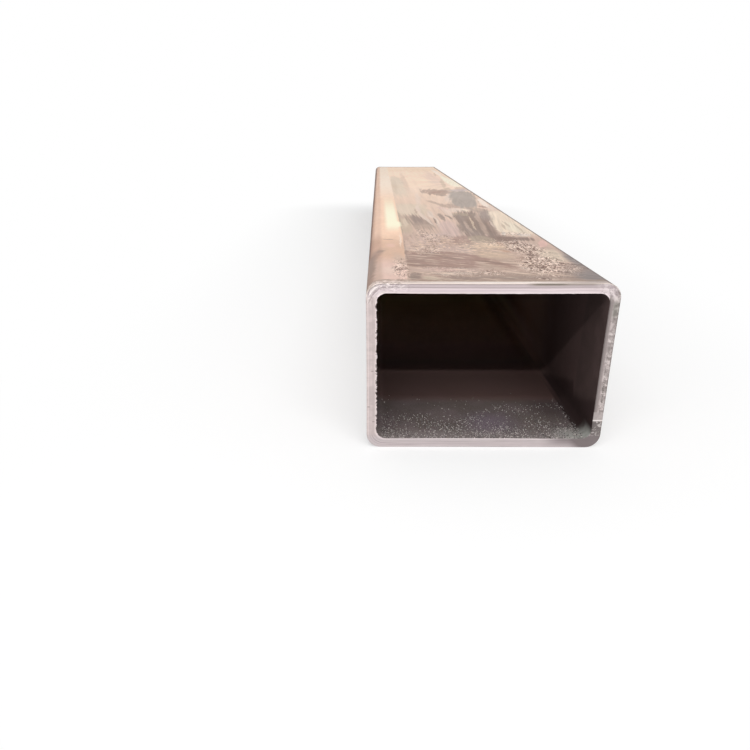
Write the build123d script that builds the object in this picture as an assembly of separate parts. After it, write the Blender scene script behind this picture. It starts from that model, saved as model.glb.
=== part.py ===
from build123d import *

import os

# One length of hot finished rectangular hollow section, sawn square at both ends.
# It lies on one of its two wide faces. X runs across the width, Y along the length
# and Z upwards. The origin is the middle of the bottom face.

# Driving dimensions, in millimetres
width = 350.0
height = 250.0
wall = 14.2
length = 3000.0

# Hot finished corners are tight, and both of their radii follow the wall. The two arcs are not
# concentric: the outer one's centre is nearer the corner, which leaves more metal there.
outer_radius_in_walls = 1.5
inner_radius_in_walls = 1.0


def outside_outline():
    """The tube's outer outline, with its rolled corners."""
    return RectangleRounded(width, height, outer_radius_in_walls * wall)


def bore_outline():
    """The hollow's outline, one wall inside the outer one all round."""
    return RectangleRounded(width - 2 * wall, height - 2 * wall, inner_radius_in_walls * wall)


def hollow_section():
    """The cross-section of the metal, upright across the tube's length."""
    middle_of_section = Plane((0, 0, height / 2), x_dir=(1, 0, 0), z_dir=(0, -1, 0))
    return middle_of_section * (outside_outline() - bore_outline())


def sawn_length():
    """The section drawn out half the length each way, which leaves both ends cut square."""
    return extrude(hollow_section(), amount=length / 2, both=True)


tube = sawn_length()
tube.label = "tube"

os.makedirs("parts", exist_ok=True)
export_step(tube, "parts/tube.step")
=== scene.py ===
import math
from typing import NamedTuple

import bpy
from bpy.props import FloatProperty, FloatVectorProperty, IntProperty, PointerProperty
from bpy.types import Operator, Panel, PropertyGroup
from mathutils import Matrix, Vector


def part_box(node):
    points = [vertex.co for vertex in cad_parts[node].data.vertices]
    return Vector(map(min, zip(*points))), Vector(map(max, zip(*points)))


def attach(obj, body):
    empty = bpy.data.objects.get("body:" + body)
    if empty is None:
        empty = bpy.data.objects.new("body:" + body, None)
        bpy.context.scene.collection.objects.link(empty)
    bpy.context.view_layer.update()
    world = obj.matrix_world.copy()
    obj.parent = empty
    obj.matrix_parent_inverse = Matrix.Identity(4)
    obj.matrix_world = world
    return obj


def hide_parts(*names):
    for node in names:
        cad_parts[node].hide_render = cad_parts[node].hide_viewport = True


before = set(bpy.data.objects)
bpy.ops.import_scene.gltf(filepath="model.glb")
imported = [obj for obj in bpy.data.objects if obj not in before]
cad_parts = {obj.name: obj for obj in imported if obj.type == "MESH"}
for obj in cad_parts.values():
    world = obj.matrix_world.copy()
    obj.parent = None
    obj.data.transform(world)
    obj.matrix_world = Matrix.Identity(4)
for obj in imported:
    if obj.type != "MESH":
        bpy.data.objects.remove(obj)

bl_info = {
    "name": "Hollow Section Yard",
    "version": (1, 0, 0),
    "blender": (4, 5, 0),
    "location": "View3D > Sidebar > Section Yard",
    "description": "Finishes a sawn length of rectangular steel tube with its scale, burr and swarf",
    "category": "Object",
}

# The tube lies along Y with its near sawn end at the lowest Y, and its section is centred on X.
# Lengths are metres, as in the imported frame, but places on the finishes are millimetres.
LOW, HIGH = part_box("tube")
WIDTH = HIGH[0] - LOW[0]
LENGTH = HIGH[1] - LOW[1]
HEIGHT = HIGH[2] - LOW[2]
WALL = 0.0142
OUTER_RADIUS = 1.5 * WALL
INNER_RADIUS = 1.0 * WALL
NEAR_END = LOW[1]
BODY = "root"
MM = 0.001

# How far the surfaces are from perfect
EDGE_WEAR = 0.7 * MM
FACE_HOLLOW = 0.3 * MM
WAVINESS = 0.4 * MM
SAW_PITCH = 4.6 * MM
SAW_DEPTH = 0.35 * MM
CHIP_DEPTH = 1.1 * MM
BURR = 1.5 * MM
BREAKOUT = 1.2 * MM
NICKS_A_METRE = 300.0
BURRS_A_METRE = 380.0
WELD_GAP = 0.01 * MM        # corners of the skin that are nearer than this become one
RELIEF_SEED = 7


def tint(red, green, blue):
    """A colour given in screen values from 0 to 255, as the linear values that shaders take."""
    def linear(value):
        share = value / 255
        return share / 12.92 if share <= 0.04045 else ((share + 0.055) / 1.055) ** 2.4
    return (linear(red), linear(green), linear(blue), 1.0)


# ---------------------------------------------------------------------------------------------
# Settings that a user would change
# ---------------------------------------------------------------------------------------------

def length_property(name, description, default, lowest=0.0):
    return FloatProperty(name=name, description=description, default=default, min=lowest,
                         subtype="DISTANCE", unit="LENGTH", precision=5)


def colour_property(name, description, default):
    return FloatVectorProperty(name=name, description=description, subtype="COLOR", size=4,
                               min=0.0, max=1.0, default=tint(*default))


class SectionSizes(PropertyGroup):
    """The rolled section and the length it is sawn to."""
    width: length_property("Width", "Outside width across the wide face", WIDTH, 0.01)
    height: length_property("Height", "Outside height across the narrow face", HEIGHT, 0.01)
    length: length_property("Length", "Length from saw cut to saw cut", LENGTH, 0.01)
    wall: length_property("Wall", "Thickness of all four walls", WALL, 0.001)
    outer_radius: length_property("Outer Radius", "Radius of the rolled corners outside",
                                  OUTER_RADIUS, 0.001)
    inner_radius: length_property("Inner Radius", "Radius of the corners in the bore",
                                  INNER_RADIUS, 0.001)


class SurfaceRelief(PropertyGroup):
    """Everything that makes the rolled and sawn surfaces less than perfect."""
    edge_wear: length_property("Edge Wear", "Radius that handling has worn onto the sawn edges",
                               EDGE_WEAR)
    face_hollow: length_property("Face Hollow", "How far the flats sink between the corners", FACE_HOLLOW)
    waviness: length_property("Waviness", "Depth of the gentle waves left by rolling", WAVINESS)
    saw_pitch: length_property("Saw Pitch", "Distance between the ridges that the saw leaves",
                               SAW_PITCH, MM)
    saw_depth: length_property("Saw Depth", "Depth of the grooves that the saw leaves", SAW_DEPTH)
    chip_depth: length_property("Chip Depth", "Depth of the nicks along the bore's sawn edge", CHIP_DEPTH)
    burr: length_property("Burr", "How far the saw's burr stands into the bore", BURR)
    breakout: length_property("Breakout", "Depth of the lumps where the saw left the metal", BREAKOUT)
    seed: IntProperty(name="Seed", description="Seed of the relief's noise",
                      default=RELIEF_SEED, min=0)


class FinishColours(PropertyGroup):
    """Colours that the finishes are mixed from."""
    scale_dark: colour_property("Dark Scale", "Bluish scale on the sides", (114, 110, 112))
    scale_mid: colour_property("Middle Scale", "Worn scale on the sides", (146, 138, 136))
    scale_pale: colour_property("Pale Scale", "Pale bloom in lengthwise runs", (182, 170, 164))
    scale_rust: colour_property("Rusty Scale", "Rust that blooms on the sides", (150, 120, 102))
    top_near: colour_property("Top Near", "Top face near the near end", (213, 188, 174))
    top_far: colour_property("Top Far", "Top face towards the far end", (252, 230, 208))
    sawn_dark: colour_property("Dark Cut", "Duller metal on the sawn ends", (184, 170, 168))
    sawn_pale: colour_property("Pale Cut", "Brighter metal on the sawn ends", (200, 185, 183))
    bore_dark: colour_property("Dark Bore", "Scale in the bore", (70, 57, 55))
    bore_pale: colour_property("Pale Bore", "Cleaner scale in the bore", (82, 67, 65))
    swarf_dark: colour_property("Dark Swarf", "The dullest grains", (58, 54, 56))
    swarf_bright: colour_property("Bright Swarf", "The brightest grains", (234, 225, 220))


class StudioLight(PropertyGroup):
    """The plain studio that the tube is shown in."""
    dome: FloatProperty(name="Dome", description="Light of the plain dome overhead",
                        default=0.53, min=0.0)
    low_strip: FloatProperty(name="Low Strip", description="Level of the long low strip lamp",
                             default=0.383, min=0.0)
    high_strip: FloatProperty(name="High Strip", description="Level of the high strip lamp",
                              default=0.45, min=0.0)


# ---------------------------------------------------------------------------------------------
# Node trees
# ---------------------------------------------------------------------------------------------

class Wire:
    """A node's output that can be used in arithmetic, which places the Math nodes for it."""

    def __init__(self, bench, socket):
        self.bench = bench
        self.socket = socket

    def __add__(self, other):
        return self.bench.math("ADD", self, other)

    __radd__ = __add__

    def __sub__(self, other):
        return self.bench.math("SUBTRACT", self, other)

    def __rsub__(self, other):
        return self.bench.math("SUBTRACT", other, self)

    def __mul__(self, other):
        return self.bench.math("MULTIPLY", self, other)

    __rmul__ = __mul__

    def __truediv__(self, other):
        return self.bench.math("DIVIDE", self, other)

    def __rtruediv__(self, other):
        return self.bench.math("DIVIDE", other, self)

    def __neg__(self):
        return self.bench.math("MULTIPLY", self, -1.0)


class Bench:
    """A node tree with short ways to place nodes and join them."""

    def __init__(self, tree):
        self.tree = tree

    def fill(self, socket, value):
        """Gives a socket a value, or joins it to a wire."""
        if isinstance(value, Wire):
            self.tree.links.new(value.socket, socket)
        elif value is not None:
            socket.default_value = value

    def put(self, kind, *values, pick=0, inputs=None, **settings):
        """Places a node with its properties, and gives one of its outputs.

        The values fill its inputs in order, and those in inputs fill them by name.
        """
        node = self.tree.nodes.new(kind)
        for name, value in settings.items():
            setattr(node, name, value)
        for socket, value in zip(node.inputs, values):
            self.fill(socket, value)
        for name, value in (inputs or {}).items():
            self.fill(node.inputs[name], value)
        return Wire(self, node.outputs[pick])

    def math(self, operation, *values):
        return self.put("ShaderNodeMath", *values, operation=operation)

    def size(self, value):
        """The value without its sign."""
        return self.math("ABSOLUTE", value)

    def ramp(self, value, start, end, low=0.0, high=1.0, kind="SMOOTHSTEP"):
        """The value's way from start to end, as a number from low to high that stays there beyond."""
        return self.put("ShaderNodeMapRange", value, start, end, low, high, clamp=True,
                        interpolation_type=kind)

    def fall(self, value, start, end):
        """1 up to the start and 0 from the end on, with a soft way between."""
        return self.ramp(value, start, end, 1.0, 0.0)

    def straight(self, value, start, end, low=0.0, high=1.0):
        return self.ramp(value, start, end, low, high, "LINEAR")

    def between(self, value, start, end, soft):
        """1 between start and end, and 0 outside them, over a soft rim."""
        rising = self.ramp(value, start - soft, start + soft)
        falling = self.fall(value, end - soft, end + soft)
        return rising * falling

    def vector(self, x, y, z):
        return self.put("ShaderNodeCombineXYZ", x, y, z)

    def parts(self, vector):
        """The three parts of a vector."""
        node = self.tree.nodes.new("ShaderNodeSeparateXYZ")
        self.fill(node.inputs[0], vector)
        return [Wire(self, output) for output in node.outputs]

    def noise(self, vector, detail=2.0, roughness=0.5, distortion=0.0):
        """Noise between 0 and 1 whose lumps are about one unit of the vector apart."""
        return self.put("ShaderNodeTexNoise", inputs={
            "Vector": vector, "Scale": 1.0, "Detail": detail, "Roughness": roughness,
            "Distortion": distortion})

    def mix(self, share, first, second, blend="MIX"):
        """Two colours mixed. The sockets left out are those of the node's other kinds of value."""
        return self.put("ShaderNodeMix", share, None, None, None, None, None, first, second,
                        pick=2, data_type="RGBA", blend_type=blend, clamp_factor=True)


def open_tree(name, kind, inputs, outputs):
    """A new node group with named inputs and outputs. Gives the bench and the inputs by name."""
    tree = bpy.data.node_groups.new(name, kind)
    for label, (socket_type, default) in inputs.items():
        socket = tree.interface.new_socket(name=label, in_out="INPUT", socket_type=socket_type)
        if default is not None:
            socket.default_value = default
    for label, socket_type in outputs.items():
        tree.interface.new_socket(name=label, in_out="OUTPUT", socket_type=socket_type)
    bench = Bench(tree)
    source = tree.nodes.new("NodeGroupInput")
    return bench, {label: Wire(bench, source.outputs[label]) for label in inputs}


def geometry_tree(name, numbers, materials):
    """A geometry tree whose inputs are the numbers and the materials named."""
    kinds = {float: "NodeSocketFloat", int: "NodeSocketInt"}
    inputs = {label: (kinds[type(default)], default) for label, default in numbers.items()}
    inputs.update({label: ("NodeSocketMaterial", None) for label in materials})
    return open_tree(name, "GeometryNodeTree", inputs, {"Geometry": "NodeSocketGeometry"})


def close_geometry(bench, geometry, *materials):
    """Ends a geometry tree: realizes what it made, sets the materials and hands it over."""
    made = bench.put("GeometryNodeRealizeInstances", geometry)
    for selection, material in materials:
        made = bench.put("GeometryNodeSetMaterial", made, selection, material)
    sink = bench.tree.nodes.new("NodeGroupOutput")
    bench.fill(sink.inputs[0], made)
    return bench.tree


def drop_empty_slots(mesh):
    """Takes out the slots that hold no material, and keeps each face's own material."""
    before = list(mesh.materials)
    kept = [material for material in before if material]
    places = [0] * len(mesh.polygons)
    mesh.polygons.foreach_get("material_index", places)
    places = [kept.index(before[place]) for place in places]
    mesh.materials.clear()
    for material in kept:
        mesh.materials.append(material)
    mesh.polygons.foreach_set("material_index", places)


def plain_mesh(name, tree, settings):
    """Runs a geometry tree on a new object, and keeps the result as that object's own plain mesh."""
    carrier = bpy.data.objects.new(name, bpy.data.meshes.new(name))
    bpy.context.scene.collection.objects.link(carrier)
    modifier = carrier.modifiers.new(name, "NODES")
    modifier.node_group = tree
    for item in tree.interface.items_tree:
        if item.in_out == "INPUT" and item.name in settings:
            modifier[item.identifier] = settings[item.name]
    graph = bpy.context.evaluated_depsgraph_get()
    made = bpy.data.meshes.new_from_object(carrier.evaluated_get(graph), depsgraph=graph)
    carrier.modifiers.remove(modifier)
    carrier.data = made
    made.name = name
    drop_empty_slots(made)
    if not made.polygons:
        raise RuntimeError(f"{name} came out empty")
    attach(carrier, BODY)
    return carrier


# ---------------------------------------------------------------------------------------------
# The tube's skin
# ---------------------------------------------------------------------------------------------

def loop_stations(bench, place, first_flat, second_flat, corner):
    """Where a place on a rounded rectangle's outline lies.

    The outline is walked in whole steps: a flat, a corner, the other flat and a corner, and the same
    again the other way round. Gives the place's share of each flat's half length, and the two parts
    of the direction that the corner's arc has turned to.
    """
    half = first_flat + corner + second_flat + corner
    lap = bench.math("FLOOR", place / half)
    sign = 1.0 - 2.0 * bench.math("MODULO", lap, 2.0)
    step = place - lap * half
    turn_one = first_flat + corner
    turn_two = turn_one + second_flat
    along = bench.straight(step, 0.0, first_flat, -1.0, 1.0)
    down = bench.straight(step, turn_one, turn_two, 1.0, -1.0)
    turned = (bench.straight(step, first_flat, turn_one, 0.0, math.pi / 2)
              + bench.straight(step, turn_two, half, 0.0, math.pi / 2))
    return (along * sign, down * sign,
            bench.math("SINE", turned) * sign, bench.math("COSINE", turned) * sign)


def rolled_section_tree():
    """A grid wrapped into the closed skin of a tube.

    One way of the grid runs round the section. The other runs along the outside, over the far sawn
    end, back through the bore and over the near sawn end.
    """
    bench, given = geometry_tree("rolled_section", {
        "Width": WIDTH, "Height": HEIGHT, "Length": LENGTH, "Wall": WALL,
        "Outer Radius": OUTER_RADIUS, "Inner Radius": INNER_RADIUS,
        "Edge Wear": EDGE_WEAR, "Face Hollow": FACE_HOLLOW, "Waviness": WAVINESS,
        "Saw Pitch": SAW_PITCH, "Saw Depth": SAW_DEPTH, "Chip Depth": CHIP_DEPTH,
        "Burr": BURR, "Breakout": BREAKOUT, "Seed": RELIEF_SEED,
        "Wide Steps": 150, "Tall Steps": 190, "Corner Steps": 10,
        "Length Steps": 38, "Ring Steps": 16, "Edge Steps": 3,
    }, ["Scale Finish", "Bore Finish", "Sawn Finish"])
    wall = given["Wall"]

    round_steps = 2.0 * (given["Wide Steps"] + given["Tall Steps"] + 2.0 * given["Corner Steps"])
    along_steps = 2.0 * (given["Length Steps"] + given["Ring Steps"] + 2.0 * given["Edge Steps"])
    grid = bench.put("GeometryNodeMeshGrid", round_steps, along_steps,
                     round_steps + 1.0, along_steps + 1.0)
    grid_x, grid_y, _ = bench.parts(bench.put("GeometryNodeInputPosition"))
    # a whole number at each vertex, so that no rounding error sends one to the next lap
    round_place = bench.math("ROUND", grid_x + round_steps / 2.0)
    along_place = bench.math("ROUND", grid_y + along_steps / 2.0)

    # round the section, and then through the wall from the outside (-1) to the bore (+1)
    b_x, b_z, d_x, d_z = loop_stations(
        bench, round_place, given["Wide Steps"], given["Tall Steps"], given["Corner Steps"])
    b_y, b_in, d_y, d_in = loop_stations(
        bench, along_place, given["Length Steps"], given["Ring Steps"], given["Edge Steps"])
    wear = given["Edge Wear"]
    # stations crowd towards the sawn ends
    y = bench.math("SINE", b_y * (math.pi / 2)) * (given["Length"] / 2.0 - wear) + d_y * wear
    depth = wall / 2.0 - b_in * (wall / 2.0 - wear) - d_in * wear

    def section_at(depth):
        """Across and up from the section's middle, at a depth below the outside."""
        radius = (given["Outer Radius"]
                  + (given["Inner Radius"] - given["Outer Radius"]) * depth / wall)
        across = b_x * (given["Width"] / 2.0 - depth - radius) + d_x * radius
        up = b_z * (given["Height"] / 2.0 - depth - radius) + d_z * radius
        return across, up

    x, z = section_at(depth)
    seed = given["Seed"] * 1.7

    # nicks and burr follow the bore's edge at each sawn end
    end_gap = given["Length"] / 2.0 - bench.size(y)
    bore_gap = wall - depth
    reach = bench.math("SQRT", end_gap * end_gap + bore_gap * bore_gap)
    # the wall that the saw met first is the ragged one
    ragged = bench.ramp(-d_x, 0.2, 0.9, 0.12, 1.0)
    nick_noise = bench.noise(bench.vector(x * NICKS_A_METRE + seed, y * 3.0, z * NICKS_A_METRE), 2.0, 0.6)
    nick = (bench.ramp(nick_noise, 0.5, 0.62) * bench.fall(reach, 0.2 * MM, 2.4 * MM)
            * ragged)
    lip_noise = bench.noise(bench.vector(x * BURRS_A_METRE, y * 3.0 - seed, z * BURRS_A_METRE), 2.0, 0.6)
    lip = (bench.ramp(lip_noise, 0.48, 0.6) * bench.fall(reach, 0.3 * MM, 1.8 * MM)
           * ragged)
    plain_depth = depth
    x, z = section_at(depth + lip * given["Burr"] - nick * given["Chip Depth"] * 0.7)

    # grooves run straight across the whole cut
    groove = bench.noise(bench.vector(x * 4.0, y + seed, z / given["Saw Pitch"]), 2.0, 0.65)
    broad = bench.noise(bench.vector(x * 3.0 - seed, y, z * 45.0), 1.0, 0.5)
    # the upper wall was cut in passes, which left two lines that follow its outline
    upper = bench.ramp(d_z, 0.2, 0.7)
    passes = (bench.between(plain_depth, 1.3 * MM, 2.3 * MM, 0.4 * MM)
              + bench.between(plain_depth, 5.7 * MM, 6.5 * MM, 0.4 * MM)) * upper
    # the saw broke out in lumps along the outer rim of the wall that it left last
    leaving = bench.ramp(x, given["Width"] / 2.0 - 8.5 * MM, given["Width"] / 2.0 - 6.0 * MM)
    lump_noise = bench.noise(bench.vector(x * 95.0 + seed, y, z * 125.0), 2.0, 0.5, 0.5)
    hollow = bench.fall(lump_noise, 0.4, 0.6) * leaving * bench.between(z, -0.08, 0.125, 0.004)
    cut = ((groove * 0.65 + broad * 0.35) * given["Saw Depth"] + nick * given["Chip Depth"] * 0.8
           + passes * 0.45 * MM + hollow * given["Breakout"])
    y = y - d_y * cut

    # the flats sink a little between the corners, and rolling leaves long gentle waves
    sag = ((1.0 - b_x * b_x) * bench.size(d_z) + (1.0 - b_z * b_z) * bench.size(d_x))
    waves = bench.noise(bench.vector(x * 9.0 + seed, y * 2.2, z * 9.0), 3.0, 0.55)
    sunk = sag * (given["Face Hollow"] + waves * given["Waviness"])
    x = x - d_x * sunk
    z = z - d_z * sunk

    # faces lie half way between whole steps, so their step says which zone they are in
    face_place = grid_y + along_steps / 2.0
    half_lap = along_steps / 2.0
    lap = bench.math("FLOOR", face_place / half_lap)
    on_length = bench.math("LESS_THAN", face_place - lap * half_lap, given["Length Steps"])
    zone = lap * on_length + 2.0 * (1.0 - on_length)
    made = bench.put("GeometryNodeStoreNamedAttribute", grid, None, "zone", zone,
                     data_type="FLOAT", domain="FACE")
    for name, value in (("depth", plain_depth / MM), ("hollow", hollow), ("nick", nick)):
        made = bench.put("GeometryNodeStoreNamedAttribute", made, None, name, value,
                         data_type="FLOAT", domain="POINT")
    made = bench.put("GeometryNodeSetPosition", made, None,
                     bench.vector(x, y, z + given["Height"] / 2.0))
    made = bench.put("GeometryNodeMergeByDistance", made, None, WELD_GAP)
    made = bench.put("GeometryNodeSetShadeSmooth", made)
    stored = bench.put("GeometryNodeInputNamedAttribute", "zone", data_type="FLOAT")
    return close_geometry(bench, made, (None, given["Scale Finish"]),
                          (bench.math("GREATER_THAN", stored, 0.5), given["Bore Finish"]),
                          (bench.math("GREATER_THAN", stored, 1.5), given["Sawn Finish"]))


# ---------------------------------------------------------------------------------------------
# Finishes
# ---------------------------------------------------------------------------------------------

def new_finish(name, constants):
    """A material with its own shader. Constants are set on the shader's own sockets."""
    material = bpy.data.materials.new(name)
    material.use_nodes = True
    tree = material.node_tree
    tree.nodes.clear()
    shader = tree.nodes.new("ShaderNodeBsdfPrincipled")
    for socket, value in constants.items():
        shader.inputs[socket].default_value = value
    sink = tree.nodes.new("ShaderNodeOutputMaterial")
    tree.links.new(shader.outputs[0], sink.inputs["Surface"])
    return material, Bench(tree), shader


def tube_place(bench):
    """Millimetres from the tube's left edge, from its near sawn end and from its bottom."""
    x, y, z = bench.parts(bench.put("ShaderNodeTexCoord", pick=3))
    across = bench.straight(x, -WIDTH / 2, WIDTH / 2, 0.0, WIDTH / MM)
    along = bench.straight(y, NEAR_END, NEAR_END + LENGTH, 0.0, LENGTH / MM)
    up = bench.straight(z, 0.0, HEIGHT, 0.0, HEIGHT / MM)
    return across, along, up


def shade(bench, colour, *levels):
    """A colour made lighter and darker by each of the levels."""
    level = levels[0]
    for other in levels[1:]:
        level = level * other
    return bench.mix(1.0, colour, bench.vector(level, level, level), "MULTIPLY")


# Colours of the weathered top
CHALK = (250, 240, 230)
STRAW = (248, 244, 224)
CREAM = (244, 229, 209)
HONEY = (240, 216, 190)
PEACH = (250, 218, 192)
KHAKI = (224, 209, 190)
SHELL = (232, 215, 202)
BLUSH = (238, 202, 192)
ROSE = (217, 193, 185)
SAND = (208, 190, 170)
FAWN = (200, 178, 163)
OLIVE = (180, 164, 145)
TAN = (186, 164, 150)
RUST = (198, 160, 135)
ASH = (196, 184, 182)
SLATE = (176, 166, 158)
MAUVE = (176, 146, 134)
CLAY = (170, 151, 139)
TAUPE = (160, 143, 134)
DRAB = (150, 132, 121)
UMBER = (150, 129, 118)
SEPIA = (134, 108, 96)
STEEL = (148, 141, 140)
RUST_WARMTH = (1.0, 0.94, 0.91, 1.0)        # the share of red, green and blue that the rust lets back


class Mark(NamedTuple):
    """A mark on a rolled face, drawn from its start to its end, in millimetres across and along.

    A taper makes its end narrower than its start. A higher squareness makes it more of a block. A
    mark that only says where something gathers has no colour.
    """
    start: tuple
    end: tuple
    half_width: float
    colour: tuple | None
    strength: float = 0.9
    taper: float = 0.0
    square: float = 2.0
    soft: float = 0.25
    ragged: float = 0.4


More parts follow.
